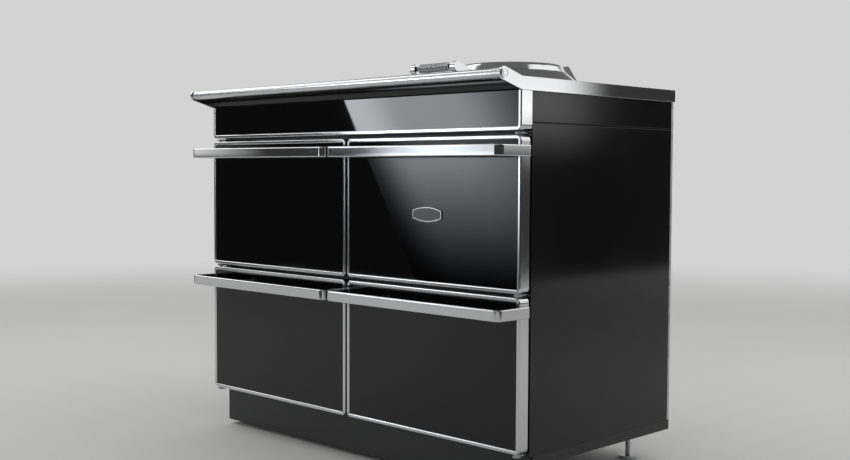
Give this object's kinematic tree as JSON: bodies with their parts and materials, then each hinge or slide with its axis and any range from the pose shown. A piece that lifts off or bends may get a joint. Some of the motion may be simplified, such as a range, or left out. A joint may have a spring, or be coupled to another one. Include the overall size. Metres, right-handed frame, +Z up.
{
  "type": "range cooker",
  "caption": "Wide black range cooker with side-hung oven doors on polished frames, strip handles, a round hand rail, a glass hob and a domed hotplate lid.",
  "frame": {"origin": "on the floor, in the middle of the cooker's overall width and depth", "axes": "+X to the cooker's right as seen from its front, +Y from the front to the back, +Z up"},
  "size_m": [1.112, 0.6524, 0.976],
  "materials": {
    "polished_steel": "polished stainless steel",
    "satin_steel": "fine brushed stainless steel",
    "black_glass": "high gloss black glass-like enamel",
    "black_enamel": "gloss black enamel",
    "black_paint": "satin black paint",
    "grey_enamel": "speckled grey vitreous enamel",
    "zinc_sheet": "bare galvanised sheet",
    "rack_wire": "bright plated wire",
    "mineral_wool": "pressed mineral wool",
    "hotplate_iron": "machined cast iron",
    "hob_ceramic": "opaque black glass ceramic",
    "lid_steel": "polished stainless steel",
    "liner_aluminium": "satin aluminium",
    "door_inside": "dark enamelled inner door",
    "foot_steel": "zinc plated steel",
    "plate_chrome": "polished rim with a darker field"
  },
  "bodies": {
    "cabinet": {"base_plate": "black_paint", "plinth": "black_paint", "foot_fl": "foot_steel", "foot_fr": "foot_steel", "foot_bl": "foot_steel", "foot_br": "foot_steel", "front_frame": "black_paint", "side_panel_l": "black_enamel", "side_panel_r": "black_enamel", "side_strip_l": "black_enamel", "side_strip_r": "black_enamel", "back_panel": "zinc_sheet", "hinge_rail_l": "zinc_sheet", "hinge_rail_r": "zinc_sheet", "insulation": "mineral_wool", "oven_ul": "grey_enamel", "oven_ur": "grey_enamel", "oven_ll": "grey_enamel", "oven_lr": "grey_enamel", "fascia_frame": "polished_steel", "fascia_panel": "black_glass", "fascia_box": "black_paint", "hob_plate": "satin_steel", "hob_trim": "black_enamel", "rim_l": "satin_steel", "rim_r": "satin_steel", "hand_rail": "satin_steel", "rail_cap_l": "polished_steel", "rail_cap_r": "polished_steel", "hob_glass": "hob_ceramic", "hotplate": "hotplate_iron", "lid_hinge_base": "lid_steel"},
    "lid": {"lid_shell": "lid_steel", "lid_liner": "liner_aluminium", "lid_hinge_arm": "lid_steel", "lid_grip": "lid_steel", "lid_coil": "lid_steel"},
    "door_ul": {"door_frame_ul": "polished_steel", "door_panel_ul": "black_glass", "door_core_ul": "door_inside", "door_handle_ul": "satin_steel"},
    "rack_ul": {"rack_ul": "rack_wire"},
    "door_ur": {"door_frame_ur": "polished_steel", "door_panel_ur": "black_glass", "door_core_ur": "door_inside", "door_handle_ur": "satin_steel", "badge_plate": "plate_chrome"},
    "rack_ur": {"rack_ur": "rack_wire"},
    "door_ll": {"door_frame_ll": "polished_steel", "door_panel_ll": "black_glass", "door_core_ll": "door_inside", "door_handle_ll": "satin_steel"},
    "rack_ll": {"rack_ll": "rack_wire"},
    "door_lr": {"door_frame_lr": "polished_steel", "door_panel_lr": "black_glass", "door_core_lr": "door_inside", "door_handle_lr": "satin_steel"},
    "rack_lr": {"rack_lr": "rack_wire"}
  },
  "joints": [
    {"name": "door_ul_hinge", "type": "hinge", "parent": "cabinet", "child": "door_ul", "pos_m": [-0.535, -0.24175, 0.6205], "axis": [0, 0, -1], "range_deg": [0, 100]},
    {"name": "door_ur_hinge", "type": "hinge", "parent": "cabinet", "child": "door_ur", "pos_m": [0.535, -0.24175, 0.6205], "axis": [0, 0, 1], "range_deg": [0, 100]},
    {"name": "door_ll_hinge", "type": "hinge", "parent": "cabinet", "child": "door_ll", "pos_m": [-0.535, -0.24175, 0.2775], "axis": [0, 0, -1], "range_deg": [0, 100]},
    {"name": "door_lr_hinge", "type": "hinge", "parent": "cabinet", "child": "door_lr", "pos_m": [0.535, -0.24175, 0.2775], "axis": [0, 0, 1], "range_deg": [0, 100]},
    {"name": "rack_ul_slide", "type": "slide", "parent": "cabinet", "child": "rack_ul", "axis": [0, -1, 0], "range_m": [0, 0.12]},
    {"name": "rack_ur_slide", "type": "slide", "parent": "cabinet", "child": "rack_ur", "axis": [0, -1, 0], "range_m": [0, 0.12]},
    {"name": "rack_ll_slide", "type": "slide", "parent": "cabinet", "child": "rack_ll", "axis": [0, -1, 0], "range_m": [0, 0.12]},
    {"name": "rack_lr_slide", "type": "slide", "parent": "cabinet", "child": "rack_lr", "axis": [0, -1, 0], "range_m": [0, 0.12]},
    {"name": "lid_hinge", "type": "hinge", "parent": "cabinet", "child": "lid", "pos_m": [0.266, 0.26225, 0.928], "axis": [-1, 0, 0], "range_deg": [0, 80]}
  ],
  "couplings": [
    {"joint": "rack_ul_slide", "follows": "door_ul_hinge", "m_per_rad": 0.0686},
    {"joint": "rack_ur_slide", "follows": "door_ur_hinge", "m_per_rad": 0.0686},
    {"joint": "rack_ll_slide", "follows": "door_ll_hinge", "m_per_rad": 0.0686},
    {"joint": "rack_lr_slide", "follows": "door_lr_hinge", "m_per_rad": 0.0686}
  ]
}
